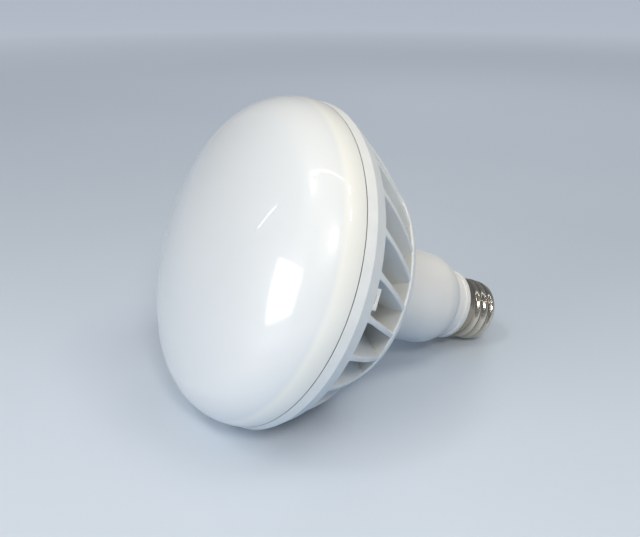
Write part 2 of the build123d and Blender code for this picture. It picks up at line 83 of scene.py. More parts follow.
# %% Camera
view_forward = Vector((-0.8044, 0.4502, -0.3875)).normalized()
view_right = view_forward.cross(Vector((0, 0, 1))).normalized()
view_up = view_right.cross(view_forward)
camera_place = Vector((0.3362, -0.2082, 0.2336))
camera_data = bpy.data.cameras.new("photo_camera")
camera_data.lens = 41.24
camera_data.sensor_width = 36.0
camera_data.clip_start = 0.01
camera_data.clip_end = 50.0
camera = bpy.data.objects.new("photo_camera", camera_data)
bpy.context.scene.collection.objects.link(camera)
turn = Matrix((view_right, view_up, -view_forward)).transposed().to_4x4()
camera.matrix_world = Matrix.Translation(camera_place) @ turn
bpy.context.scene.camera = camera
print("camera at", [round(v, 3) for v in camera.location])

# %% [markdown]
# ## Small tools for finishes
# Every finish is a node tree on a Principled shader. A few helpers are used again and again: one starts a
# tree, one adds noise, two turn a number into a colour or into another number, one makes a fine bump, and
# one says where on the lamp a point lies. The noise is measured in object space, which is metres here, so a
# scale of 400 has grains of about 2 mm.


# %% Finish helpers
def start_finish(name, colour, roughness, metallic=0.0, coat=0.0):
    """A new finish with plain values on its shader, and a node named place for its coordinates."""
    finish = bpy.data.materials.new(name)
    finish.use_nodes = True
    tree = finish.node_tree
    shader = tree.nodes["Principled BSDF"]
    shader.inputs["Base Color"].default_value = (*colour, 1.0)
    shader.inputs["Roughness"].default_value = roughness
    shader.inputs["Metallic"].default_value = metallic
    shader.inputs["Coat Weight"].default_value = coat
    place = tree.nodes.new("ShaderNodeTexCoord")
    place.name = "place"
    return finish, tree, shader


def add_noise(tree, scale, detail=3.0, stretch=None):
    """Noise in object space; stretch scales the three directions of the lamp's own frame."""
    noise = tree.nodes.new("ShaderNodeTexNoise")
    noise.inputs["Scale"].default_value = scale
    noise.inputs["Detail"].default_value = detail
    source = tree.nodes["place"].outputs["Object"]
    if stretch is not None:
        mapping = tree.nodes.new("ShaderNodeMapping")
        mapping.inputs["Rotation"].default_value = (pi / 2 - lamp_tilt, 0, 0)
        mapping.inputs["Scale"].default_value = stretch
        tree.links.new(source, mapping.inputs["Vector"])
        source = mapping.outputs["Vector"]
    tree.links.new(source, noise.inputs["Vector"])
    return noise.outputs["Fac"]


def shade_between(tree, fac, dark, light, low=0.3, high=0.7):
    """A colour that runs from dark to light as fac goes from low to high."""
    ramp = tree.nodes.new("ShaderNodeValToRGB")
    ramp.color_ramp.elements[0].position = low
    ramp.color_ramp.elements[0].color = (*dark, 1.0)
    ramp.color_ramp.elements[1].position = high
    ramp.color_ramp.elements[1].color = (*light, 1.0)
    tree.links.new(fac, ramp.inputs["Fac"])
    return ramp.outputs["Color"]


def level_between(tree, fac, low_out, high_out, low=0.3, high=0.7):
    """A plain number that runs from low_out to high_out as fac goes from low to high."""
    scale = tree.nodes.new("ShaderNodeMapRange")
    scale.inputs["From Min"].default_value = low
    scale.inputs["From Max"].default_value = high
    scale.inputs["To Min"].default_value = low_out
    scale.inputs["To Max"].default_value = high_out
    tree.links.new(fac, scale.inputs["Value"])
    return scale.outputs["Result"]


def add_bump(tree, shader, fac, height, strength=0.5):
    """A relief of that height in metres on the shader's normal."""
    bump = tree.nodes.new("ShaderNodeBump")
    bump.inputs["Strength"].default_value = strength
    bump.inputs["Distance"].default_value = height
    tree.links.new(fac, bump.inputs["Height"])
    tree.links.new(bump.outputs["Normal"], shader.inputs["Normal"])


def place_on_lamp(tree):
    """Radius from the axis and level along it, in metres, as two outputs of the finish's tree."""
    shift = tree.nodes.new("ShaderNodeVectorMath")
    shift.operation = "SUBTRACT"
    shift.inputs[1].default_value = seam_point
    tree.links.new(tree.nodes["place"].outputs["Object"], shift.inputs[0])
    level = tree.nodes.new("ShaderNodeVectorMath")
    level.operation = "DOT_PRODUCT"
    level.inputs[1].default_value = along
    tree.links.new(shift.outputs["Vector"], level.inputs[0])
    radius = tree.nodes.new("ShaderNodeVectorMath")
    radius.operation = "CROSS_PRODUCT"
    radius.inputs[1].default_value = along
    tree.links.new(shift.outputs["Vector"], radius.inputs[0])
    length = tree.nodes.new("ShaderNodeVectorMath")
    length.operation = "LENGTH"
    tree.links.new(radius.outputs["Vector"], length.inputs[0])
    return length.outputs["Value"], level.outputs["Value"]


print("finish helpers ready")

# %% [markdown]
# ## Small tools for turned pieces
# A turned piece is an outline of (radius, level) points swept round the axis. A sharp corner in a real
# moulding is never quite sharp, so each point may carry a third number, the radius of its eased edge, and
# the corner is replaced by a short arc. The weighted-normal modifier then keeps broad faces flat-looking
# and lets only the eased edges catch the light.


# %% Eased corners
def eased(outline, steps=4, most_of_side=0.45):
    """The outline with each corner that has a third number rounded by that radius."""
    points = []
    count = len(outline)
    for index, corner in enumerate(outline):
        ease = corner[2] if len(corner) > 2 else 0.0
        here = Vector(corner[:2])
        if ease <= 0:
            points.append(here)
            continue
        before = Vector(outline[index - 1][:2]) - here
        after = Vector(outline[(index + 1) % count][:2]) - here
        opening = before.angle(after)
        longest_cut = most_of_side * min(before.length, after.length)
        cut = min(ease * tan((pi - opening) / 2), longest_cut)
        start = here + before.normalized() * cut
        end = here + after.normalized() * cut
        pull = sin(opening / 2)
        for step in range(steps + 1):
            share = step / steps
            weights = ((1 - share) ** 2, 2 * pull * share * (1 - share), share ** 2)
            point = start * weights[0] + here * weights[1] + end * weights[2]
            points.append(point / sum(weights))
    return points


print("corner helper ready")


# %% Turned piece helpers
def turn_outline(mesh, outline, first=0.0, sweep=360.0, steps=192):
    """Sweeps a closed outline round the axis into a bmesh, all the way or over part of a turn."""
    whole = sweep >= 360
    rings = []
    for step in range(steps if whole else steps + 1):
        angle = first + sweep * step / steps
        rings.append([mesh.verts.new(lamp_point(r, level, angle)) for r, level in outline])
    count = len(outline)
    for step in range(steps):
        one, two = rings[step], rings[(step + 1) % len(rings)]
        for index in range(count):
            following = (index + 1) % count
            mesh.faces.new((one[index], one[following], two[following], two[index]))
    if not whole:
        mesh.faces.new(rings[0][::-1])
        mesh.faces.new(rings[-1])


weld_distance = 1e-6


def piece_from(mesh, name, finish, slot, *nodes):
    """Closes a bmesh into an object that rides on the lamp and stands for its CAD nodes."""
    bmesh.ops.remove_doubles(mesh, verts=mesh.verts, dist=weld_distance)
    bmesh.ops.recalc_face_normals(mesh, faces=mesh.faces)
    data = bpy.data.meshes.new(name)
    mesh.to_mesh(data)
    mesh.free()
    data.polygons.foreach_set("use_smooth", [True] * len(data.polygons))
    piece = bpy.data.objects.new(name, data)
    bpy.context.scene.collection.objects.link(piece)
    data.materials.append(finish)
    even = piece.modifiers.new("even_shading", "WEIGHTED_NORMAL")
    even.keep_sharp = True
    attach(piece, "root")
    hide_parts(*nodes)
    print(name, "faces", len(data.polygons))


print("turned piece helpers ready")

# %% [markdown]
# ## The milky dome
# The diffuser is moulded in a white plastic that lets light through but hides the diodes. Its crown is a
# wide arc that runs into a tighter corner near the seam. Arcs are sampled closely, because a long highlight
# shows every flat. The plastic is glossy, so a thin clear coat lies over it. The crown is painted a little
# grey towards its middle, as painted shade for the dark hollow behind it, and the last centimetre before the
# seam is painted a warmer, brighter white, as painted light where the skirt and the ring back it. Painted
# shade darkens the narrow seam itself, and that line is a helper, because the ring on the other side of the
# seam needs it too. A very shallow waviness keeps the highlights from looking ruled.

# %% The seam's painted shade
white = (1.0, 1.0, 1.0)
seam_radius, seam_gap = 89.2, 0.22
# Painted shade: the faces inside the seam's gap are darkened to stand for the shade that falls there.
seam_shade_colour = (0.38, 0.38, 0.37)
seam_shade_start, seam_shade_end = (seam_gap + 0.02) * millimetre, (seam_gap + 0.10) * millimetre


def multiply(tree, one, two):
    """The product of two colours in a finish's tree."""
    blend = tree.nodes.new("ShaderNodeMix")
    blend.data_type = "RGBA"
    blend.blend_type = "MULTIPLY"
    blend.inputs["Factor"].default_value = 1.0
    tree.links.new(one, blend.inputs["A"])
    tree.links.new(two, blend.inputs["B"])
    return blend.outputs["Result"]


def painted_seam_shade(tree, level):
    """Painted shade inside the seam, where the level is next to 0, and white elsewhere."""
    distance = tree.nodes.new("ShaderNodeMath")
    distance.operation = "ABSOLUTE"
    tree.links.new(level, distance.inputs[0])
    away = level_between(tree, distance.outputs["Value"], 0.0, 1.0, seam_shade_start, seam_shade_end)
    return shade_between(tree, away, seam_shade_colour, white, 0.0, 1.0)


print("seam is open by", 2 * seam_gap, "mm")

# %% Opal plastic
# Painted light and shade: the last centimetre before the seam is painted a warmer, brighter white as light,
# and the crown is painted greyer towards its middle as shade.
painted_lit_edge, crown_white, painted_hollow_shade = (0.94, 0.93, 0.87), (0.82, 0.835, 0.835), (0.86, 0.87, 0.89)
edge_start, edge_end = 0.0095, 0.0120
hollow_shade_start, hollow_shade_end = 0.012, 0.038
opal, tree, shader = start_finish("opal_plastic", (0.84, 0.85, 0.84), 0.30, coat=0.8)
shader.inputs["Coat Roughness"].default_value = 0.042
shader.inputs["IOR"].default_value = 1.5
_, level = place_on_lamp(tree)
past_lit_edge = level_between(tree, level, 0.0, 1.0, edge_start, edge_end)
body_colour = shade_between(tree, past_lit_edge, painted_lit_edge, crown_white, 0.0, 1.0)
into_hollow_shade = level_between(tree, level, 0.0, 1.0, hollow_shade_start, hollow_shade_end)
hollow_shade = shade_between(tree, into_hollow_shade, white, painted_hollow_shade, 0.0, 1.0)
body_colour = multiply(tree, body_colour, hollow_shade)
tree.links.new(multiply(tree, body_colour, painted_seam_shade(tree, level)), shader.inputs["Base Color"])
soft_patches = add_noise(tree, 40.0, 1.0)
tree.links.new(level_between(tree, soft_patches, 0.28, 0.32, 0.0, 1.0), shader.inputs["Roughness"])
add_bump(tree, shader, soft_patches, 0.0003, 0.06)
print("opal plastic ready")

# %% Dome and its skirt
crown_radius, corner_radius, dome_wall = 180.0, 28.8, 2.4
ring_wall, skirt_play = 4.0, 0.2
corner_middle = seam_radius - corner_radius
crown_middle = -sqrt((crown_radius - corner_radius) ** 2 - corner_middle ** 2)
crown_edge = asin(corner_middle / (crown_radius - corner_radius))
skirt_outer = seam_radius - ring_wall - skirt_play
skirt_inner = skirt_outer - dome_wall
seam_angle = asin(seam_gap / corner_radius)
flange_front, flange_back = -8.0, -11.5
crown_steps, corner_steps, inside_steps = 24, 32, 12


def arc(centre_radius, centre_level, radius, start, end, steps):
    """Points on an arc; angles from the radius direction towards the dome, in radians."""
    turns = [start + (end - start) * step / steps for step in range(steps + 1)]
    return [(centre_radius + radius * cos(t), centre_level + radius * sin(t)) for t in turns]


crown = arc(0, crown_middle, crown_radius, pi / 2, pi / 2 - crown_edge, crown_steps)
corner = arc(corner_middle, 0, corner_radius, pi / 2 - crown_edge, seam_angle, corner_steps)
inner_corner = corner_radius - dome_wall
ledge_angle = asin(dome_wall / inner_corner)
inside = arc(corner_middle, 0, inner_corner, ledge_angle, pi / 2 - crown_edge, inside_steps)
inside += arc(0, crown_middle, crown_radius - dome_wall, pi / 2 - crown_edge, pi / 2, inside_steps)[1:]
dome_outline = [Vector(p) for p in crown + corner[1:-1]]
dome_outline += eased([
    corner[-2],
    (*corner[-1], 0.12),
    (skirt_outer, seam_gap),
    (skirt_outer, flange_front, 0.3),
    (skirt_inner, flange_front, 0.3),
    (skirt_inner, dome_wall),
])[1:]
dome_outline += [Vector(p) for p in inside]
mesh = bmesh.new()
turn_outline(mesh, dome_outline, steps=224)
print("dome outline points", len(dome_outline))

# %% [markdown]
# Four hooks hang from the skirt, go through the ring's flange and show as small tabs between the fins.
# Each is a strip with a barb and a narrow eye: a stem down to the eye, a post on each side of it and a foot
# below it. A strip is drawn in side view and given its width, then its sharp edges are eased with a bevel.


# %% Strips round the lamp
def add_strip(mesh, outline, width, angle, sideways=0.0, ease=0.25):
    """A side outline of (radius, level) points given a width round the lamp at that angle."""
    strip = bmesh.new()
    tangent = upward * cos(radians(angle)) - across * sin(radians(angle))
    sides = []
    for shift in (sideways - width / 2, sideways + width / 2):
        aside = tangent * shift * millimetre
        sides.append([strip.verts.new(lamp_point(r, level, angle) + aside) for r, level in outline])
    count = len(outline)
    strip.faces.new(sides[0])
    strip.faces.new(sides[1][::-1])
    for index in range(count):
        following = (index + 1) % count
        strip.faces.new((sides[0][following], sides[0][index], sides[1][index], sides[1][following]))
    bmesh.ops.recalc_face_normals(strip, faces=strip.faces)
    bmesh.ops.bevel(
        strip, geom=strip.edges[:], offset=ease * millimetre, segments=2, affect="EDGES", profile=0.5
    )
    data = bpy.data.meshes.new("strip")
    strip.to_mesh(data)
    strip.free()
    mesh.from_mesh(data)
    bpy.data.meshes.remove(data)


print("strip helper ready")

# %% Hooks of the dome
fin_count, hook_turn, hook_cells = 26, 8.8, (0, 7, 13, 20)
hook_angles = [hook_turn + cell * 360 / fin_count for cell in hook_cells]
hook_width, hook_thickness, hook_reach, hook_root, hook_inset = 10.5, 1.6, 9.4, 1.0, 0.4
barb_reach, barb_height, barb_overlap = 3.2, 4.8, 0.5
eye_width, eye_height, post_overlap = 4.0, 1.6, 0.8
hook_inner = skirt_inner + hook_inset
hook_outer = hook_inner + hook_thickness
hook_end = flange_front - hook_reach
eye_low, eye_high = hook_end + eye_height, hook_end + 2 * eye_height
post_width = (hook_width - eye_width) / 2
post_shift = (hook_width - post_width) / 2


def hook_side(low, high):
    """Side view of a straight length of a hook between two levels."""
    return [(hook_inner, low), (hook_inner, high), (hook_outer, high), (hook_outer, low)]


stem = hook_side(eye_high, flange_front + hook_root)
foot = hook_side(hook_end, eye_low)
post = hook_side(hook_end + post_overlap, eye_high + post_overlap)
barb = [
    (hook_inner + barb_overlap, flange_back),
    (hook_inner - barb_reach, flange_back),
    (hook_inner + barb_overlap, flange_back - barb_height),
]
for angle in hook_angles:
    add_strip(mesh, stem, hook_width, angle)
    add_strip(mesh, foot, hook_width, angle)
    add_strip(mesh, post, post_width, angle, sideways=-post_shift)
    add_strip(mesh, post, post_width, angle, sideways=post_shift)
    add_strip(mesh, barb, hook_width, angle)
piece_from(mesh, "milky_dome", opal, "opal_plastic", "diffuser")

# %% [markdown]
# ## White coat of the heat sink
# The ring, the fins and the back disc are one aluminium casting under a white coat. The coat is satin, with
# the faint orange peel of sprayed paint, which is a fine bump here. A slow mottle keeps the colour from
# looking flat, and the seam's painted shade goes on across the ring's edge. The deep corners between the
# fins need no darker paint, because little light gets in there anyway.

# %% White coat
coat, tree, shader = start_finish("white_coat", (0.85, 0.86, 0.84), 0.38)
_, level = place_on_lamp(tree)
mottle = add_noise(tree, 120.0, 4.0)
coat_colour = shade_between(tree, mottle, (0.83, 0.835, 0.82), (0.87, 0.88, 0.865))
# The ring's edge inside the seam gets the same painted shade as the dome.
tree.links.new(multiply(tree, coat_colour, painted_seam_shade(tree, level)), shader.inputs["Base Color"])
sheen = add_noise(tree, 500.0, 2.0)
tree.links.new(level_between(tree, sheen, 0.34, 0.44), shader.inputs["Roughness"])
orange_peel = add_noise(tree, 900.0, 2.0)
add_bump(tree, shader, orange_peel, 0.00012, 0.25)
print("white coat ready")

# %% [markdown]
# ## Ring, core and back disc
# The ring's outer face has two bands: one opens from the seam to the widest edge, and the other closes
# from there to the back. Behind it lies a front plate, which the dome's hooks go through, then a core round
# the driver, and a back disc that the fins stand on. Each is an outline with eased corners, and the front
# plate is left open at the hooks.

# %% Ring, core and disc
lamp_radius, crease_level = 90.0, -5.6
back_radius, back_level = 86.6, -13.6
ring_inner = seam_radius - ring_wall
shoulder_radius, shoulder_level, rim_width = 62.4, -55.9, 4.4
cone_slope = (back_radius - shoulder_radius) / (back_level - shoulder_level)
rim_level = shoulder_level + rim_width
rim_radius = shoulder_radius + cone_slope * rim_width
disc_dish = 1.0
disc_foot = rim_level - disc_dish
neck_radius, neck_flange, neck_seat = 28.6, 38.0, -57.0
core_play, core_wall = 1.5, 3.5
core_bore = neck_flange + core_play
core_radius = core_bore + core_wall
hub_radius, hub_wall, hub_end = 28.8, 2.0, -62.0
mesh = bmesh.new()
ring_outline = eased([
    (seam_radius, -seam_gap, 0.15),
    (lamp_radius, crease_level, 1.2),
    (back_radius, back_level, 0.7),
    (ring_inner, back_level, 0.4),
    (ring_inner, -seam_gap, 0.3),
])
turn_outline(mesh, ring_outline, steps=224)
core_outline = eased([
    (core_bore, flange_front),
    (core_radius, flange_front),
    (core_radius, disc_foot, 1.2),
    (rim_radius, rim_level, 0.9),
    (shoulder_radius, shoulder_level, 1.2),
    (hub_radius + hub_wall, hub_end, 0.5),
    (hub_radius, hub_end, 0.3),
    (hub_radius, neck_seat),
    (core_bore, neck_seat),
])
turn_outline(mesh, core_outline, steps=192)
print("ring outline points", len(ring_outline), "core outline points", len(core_outline))

# %% Front plate, open at the hooks
slot_play, barb_hold, plate_overlap = 0.5, 1.2, 0.5
slot_half = degrees((hook_width + 2 * slot_play) / 2 / skirt_inner)
slot_inner = hook_inner - barb_reach + barb_hold


def plate_outline(inner, outer):
    """The front plate's outline between two radii."""
    corners = (inner, flange_front), (outer, flange_front), (outer, flange_back), (inner, flange_back)
    return [Vector(p) for p in corners]


turn_outline(mesh, plate_outline(core_radius - plate_overlap, slot_inner), steps=192)
land = plate_outline(slot_inner, ring_inner + plate_overlap)
next_hooks = hook_angles[1:] + [hook_angles[0] + 360]
for angle, next_angle in zip(hook_angles, next_hooks):
    start, end = angle + slot_half, next_angle - slot_half
    turn_outline(mesh, land, start, end - start, 48)
print("openings in the front plate", len(hook_angles))

# %% [markdown]
# ## The fins
# The fins are flat gussets that lean against the axis: deep at the ring, and running out at the disc's
# edge. A plate is easiest to follow by its level along the axis and its place across the thickness: both
# together say how far it has leaned sideways, and the cone between ring and shoulder says how far out it
# reaches, with a slight bow. The outer edge is rounded, and the foot at the ring is thicker, as it is in the
# casting, where the metal flows from the ring into the fin.

# %% Place on a fin
fin_turn, fin_lean = 11.5, radians(20.0)
fin_half, fin_drop, fin_crown, fin_ease = 1.5, 0.5, 1.2, 1.0
fin_middle = (back_level + shoulder_level) / 2
fin_root = core_radius - 1.0


def fin_place(level, across_fin, half, edge, turn_angle):
    """A point on a fin: across_fin is -1 to 1 through its thickness, edge is 0 to 1 from the core out."""
    aside = across_fin * half
    down_plate = (level - fin_middle - aside * sin(fin_lean)) / cos(fin_lean)
    side = down_plate * sin(fin_lean) - aside * cos(fin_lean)
    on_cone = min(level, back_level)
    way = max(0.0, min(1.0, (on_cone - back_level) / (rim_level - back_level)))
    reach = back_radius - fin_drop + cone_slope * (on_cone - back_level)
    reach += 4 * fin_crown * way * (1 - way) * hypot(1, cone_slope)
    over = max(0.0, abs(aside) - (half - fin_ease))
    reach -= fin_ease - sqrt(max(0.0, fin_ease ** 2 - over ** 2))
    out = fin_root + (reach - fin_root) * edge
    x = sqrt(max(1.0, out ** 2 - side ** 2))
    return lamp_point(hypot(x, side), level, turn_angle + degrees(atan2(side, x)))


print("fins lean by", round(degrees(fin_lean)), "degrees")

# %% Fins
fin_sink, foot_flare, flare_length = 0.6, 0.9, 2.6
fin_low, fin_high = disc_foot - fin_sink, flange_back + fin_sink
stations = 36
edge_shares = [0.0, 0.35, 0.7, 0.9]
rounding = [-1.0, -0.9, -0.75, -0.5, 0.0, 0.5, 0.75, 0.9, 1.0]
for number in range(fin_count):
    turn_angle = fin_turn + number * 360 / fin_count
    loops = []
    for step in range(stations + 1):
        level = fin_low + (fin_high - fin_low) * step / stations
        half = fin_half + foot_flare * exp(-max(0.0, back_level - level) / flare_length)
        loop = [fin_place(level, -1.0, half, edge, turn_angle) for edge in edge_shares]
        loop += [fin_place(level, place, half, 1.0, turn_angle) for place in rounding]
        loop += [fin_place(level, 1.0, half, edge, turn_angle) for edge in edge_shares[::-1]]
        loops.append([mesh.verts.new(p) for p in loop])
    count = len(loops[0])
    for one, two in zip(loops, loops[1:]):
        for index in range(count):
            following = (index + 1) % count
            mesh.faces.new((one[index], two[index], two[following], one[following]))
    mesh.faces.new(loops[0])
    mesh.faces.new(loops[-1][::-1])
piece_from(mesh, "finned_ring", coat, "white_paint", "heat_sink")

# %% [markdown]
# ## The neck
# The driver sits in a moulded plastic neck. It is a straight tube that rounds over near the cap, then a
# recessed band and a small lip that covers the edge of the metal shell. The plastic is a warmer white than
# the coat, with a fine eroded texture and faint marks along the pull of the mould.

# %% Neck plastic
neck_white, tree, shader = start_finish("neck_plastic", (0.86, 0.85, 0.82), 0.36)
grain = add_noise(tree, 700.0, 3.0)
flow = add_noise(tree, 60.0, 3.0, stretch=(1.0, 1.0, 0.15))
neck_colour = shade_between(tree, flow, (0.84, 0.83, 0.80), (0.88, 0.87, 0.84))
tree.links.new(neck_colour, shader.inputs["Base Color"])
tree.links.new(level_between(tree, grain, 0.30, 0.42), shader.inputs["Roughness"])
add_bump(tree, shader, grain, 0.00008, 0.3)
print("neck plastic ready")

# %% Neck
neck_top, neck_wall, tube_station = -54.0, 2.6, -80.0
neck_bore = neck_radius - neck_wall
round_level, end_radius, end_level = -117.0, 23.6, -130.8
collar_radius, band_step, lip_level, collar_end = 22.3, 0.9, -139.2, -142.4
cap_bore, plug_wall, plug_end = 17.4, 2.0, -160.0
drop, run = neck_radius - end_radius, round_level - end_level
shoulder_arc = (drop ** 2 + run ** 2) / (2 * drop)
arc_end = asin(run / shoulder_arc)
rounding_over = arc(neck_radius - shoulder_arc, round_level, shoulder_arc, 0, -arc_end, 16)
neck_inside = [(cap_bore - plug_wall, -140.4), (end_radius - 3.6, -132.0), (neck_bore, -121.0)]
neck_outline = eased([
    (neck_bore, neck_top, 0.3),
    (neck_flange, neck_top, 0.6),
    (neck_flange, neck_seat, 0.3),
    (neck_radius, neck_seat),
    (neck_radius, tube_station),
    *rounding_over[:-1],
    (end_radius, end_level, 0.9),
    (collar_radius - band_step, end_level, 0.4),
    (collar_radius - band_step, lip_level, 0.3),
    (collar_radius, lip_level, 0.25),
    (collar_radius, collar_end, 1.0),
    (cap_bore, collar_end),
    (cap_bore, plug_end, 0.3),
    (cap_bore - plug_wall, plug_end, 0.3),
    *neck_inside,
])
mesh = bmesh.new()
turn_outline(mesh, neck_outline, steps=160)
piece_from(mesh, "neck", neck_white, "white_plastic", "driver_housing")

# %% [markdown]
# ## The screw shell
# The shell is thin brass with a nickel plate, and its thread is rolled into the sheet, so it has no edges:
# the wall swells to a crest and sinks to a root. That is easier as one grid than as a sweep. Each point's
# radius follows a wave that climbs one pitch in each turn, and the wave fades in near both plain ends. The
# roots are duller and browner than the crests, which rub bright in a holder, so the plate's colour follows
# the radius.

# %% Nickel plate
tarnished, polished = (0.40, 0.35, 0.28), (0.75, 0.71, 0.63)
root_depth, crest_depth = 0.0178, 0.0194
nickel, tree, shader = start_finish("nickel_plate", (0.70, 0.68, 0.63), 0.16, metallic=1.0)
radius, _ = place_on_lamp(tree)
rub = add_noise(tree, 260.0, 5.0, stretch=(1.0, 1.0, 6.0))
depth = level_between(tree, radius, 0.0, 1.0, root_depth, crest_depth)
plate_colour = shade_between(tree, depth, tarnished, polished, 0.0, 1.0)
speckle = shade_between(tree, rub, (0.86, 0.84, 0.80), white)
tree.links.new(multiply(tree, plate_colour, speckle), shader.inputs["Base Color"])
tree.links.new(level_between(tree, rub, 0.10, 0.24), shader.inputs["Roughness"])
scratches = add_noise(tree, 400.0, 4.0, stretch=(1.0, 1.0, 5.0))
add_bump(tree, shader, scratches, 0.00006, 0.25)
print("nickel plate ready")

# %% Rolled thread
crest, root, pitch, crest_shape = 19.75, 18.0, 6.35, 0.85
cap_end_radius, cap_end, cap_band = 19.4, -168.6, 3.2
thread_start, thread_turns, thread_shift = -164.6, 2.2, 0.4
fade_low, fade_high = 0.9, 0.75
band_overlap, band_ease = 1.2, 1.6


def smooth_step(value):
    """Runs from 0 to 1 with flat ends."""
    value = max(0.0, min(1.0, value))
    return value * value * (3 - 2 * value)


def shell_radius(level, angle):
    """Radius of the shell's outside at a level and an angle in degrees."""
    climb = (level - thread_start) / pitch
    phase = climb - angle / 360.0 + thread_shift
    ridge = (0.5 + 0.5 * cos(2 * pi * phase)) ** crest_shape
    fade = smooth_step(climb + fade_low) * smooth_step(thread_turns + fade_high - thread_shift - climb)
    low_band = smooth_step((cap_end + cap_band + band_overlap - level) / band_ease)
    plain = root + (cap_end_radius - root) * low_band
    return max(plain, root + (crest - root) * ridge * fade)


print("thread of", thread_turns, "turns with a pitch of", pitch, "mm")

# %% Screw shell
shell_steps, shell_rows, end_steps = 192, 150, 8
shell_angles = [360 * step / shell_steps for step in range(shell_steps)]
end_round = cap_band / 2
shell_low = cap_end + end_round
mouth_flare, mouth_height = 0.6, 0.9
end_flat, end_opening, sheet = 15.0, 13.4, 0.6
mesh = bmesh.new()
rings = []
for row in range(shell_rows + 1):
    level = collar_end + (shell_low - collar_end) * row / shell_rows
    flare = mouth_flare * smooth_step(1 - (collar_end - level) / mouth_height)
    places = [lamp_point(shell_radius(level, angle) + flare, level, angle) for angle in shell_angles]
    rings.append([mesh.verts.new(place) for place in places])
end_points = arc(cap_end_radius - end_round, shell_low, end_round, 0, -pi / 2, end_steps)[1:]
end_points += [
    (end_flat, cap_end),
    (end_opening, cap_end),
    (end_opening, cap_end + sheet),
    (cap_bore, cap_end + sheet),
    (cap_bore, collar_end),
]
for end_point in end_points:
    rings.append([mesh.verts.new(lamp_point(*end_point, angle)) for angle in shell_angles])
rings.append(rings[0])
for one, two in zip(rings, rings[1:]):
    for step in range(shell_steps):
        following = (step + 1) % shell_steps
        mesh.faces.new((one[step], one[following], two[following], two[step]))
piece_from(mesh, "screw_thread_shell", nickel, "nickel_plate", "screw_shell")

# %% [markdown]
# ## Insulator and centre contact
# At the end of the cap a dark ring of glassy plastic keeps the shell apart from the centre contact, a flat
# tinned button. Both are turned pieces. The button has a dull blob of solder look: tin with a soft mottle.

# %% Insulator
glaze, tree, shader = start_finish("dark_insulator", (0.05, 0.05, 0.055), 0.25, coat=0.4)
swirl = add_noise(tree, 220.0, 5.0)
glaze_colour = shade_between(tree, swirl, (0.035, 0.035, 0.04), (0.075, 0.07, 0.07))
tree.links.new(glaze_colour, shader.inputs["Base Color"])
tree.links.new(level_between(tree, swirl, 0.18, 0.34), shader.inputs["Roughness"])
pitting = add_noise(tree, 600.0, 3.0)
add_bump(tree, shader, pitting, 0.0001, 0.2)
pin_radius, insulator_front, insulator_step, insulator_end = 2.5, -165.5, -168.0, -175.4
cup_level, cup_width, cup_height, cup_steps = -169.4, 5.0, 6.0, 12
cup_turns = [pi / 2 * step / cup_steps for step in range(cup_steps)]
cup = [(end_opening - cup_width * (1 - cos(t)), cup_level - cup_height * sin(t)) for t in cup_turns]
insulator_outline = eased([
    (pin_radius, insulator_front),
    (cap_bore, insulator_front),
    (cap_bore, insulator_step),
    (end_opening, insulator_step),
    *cup,
    (end_opening - cup_width, insulator_end, 0.3),
    (pin_radius, insulator_end),
])
mesh = bmesh.new()
turn_outline(mesh, insulator_outline, steps=128)
piece_from(mesh, "insulator_ring", glaze, "dark_insulator", "base_insulator")

# %% Centre contact
tin, tree, shader = start_finish("tinned_contact", (0.66, 0.64, 0.60), 0.3, metallic=1.0)
blotch = add_noise(tree, 350.0, 5.0)
tin_colour = shade_between(tree, blotch, (0.50, 0.48, 0.44), (0.74, 0.72, 0.68))
tree.links.new(tin_colour, shader.inputs["Base Color"])
tree.links.new(level_between(tree, blotch, 0.22, 0.45), shader.inputs["Roughness"])
add_bump(tree, shader, blotch, 0.0002, 0.35)
pin_front, button_radius = -163.0, 7.6
contact_outline = eased([
    (0.0, pin_front),
    (pin_radius, pin_front, 0.3),
    (pin_radius, insulator_end),
    (button_radius, insulator_end, 0.3),
    (button_radius, contact_end, 1.6),
    (0.0, contact_end),
])
mesh = bmesh.new()
turn_outline(mesh, contact_outline, steps=96)
piece_from(mesh, "contact_button", tin, "tinned_brass", "centre_contact")

# %% [markdown]
# ## Inside the lamp
# Behind the dome are a plate, a light board with its diodes, and in the neck the driver. They are closed in,
# so their CAD shapes stay, and each gets a finish with the look of its real material: satin metal, board
# lacquer, wound tape, sleeve plastic or wire cover.

# %% Finishes of the inner pieces
inner_relief = 0.0001


def inner_finish(name, dark, light, rough, metallic, grain):
    """A finish that varies between two colours, with a fine relief."""
    finish, tree, shader = start_finish(name, light, rough, metallic)
    noise = add_noise(tree, grain, 4.0)
    tree.links.new(shade_between(tree, noise, dark, light), shader.inputs["Base Color"])
    tree.links.new(level_between(tree, noise, rough * 0.85, rough * 1.2), shader.inputs["Roughness"])
    add_bump(tree, shader, noise, inner_relief, 0.2)
    return finish


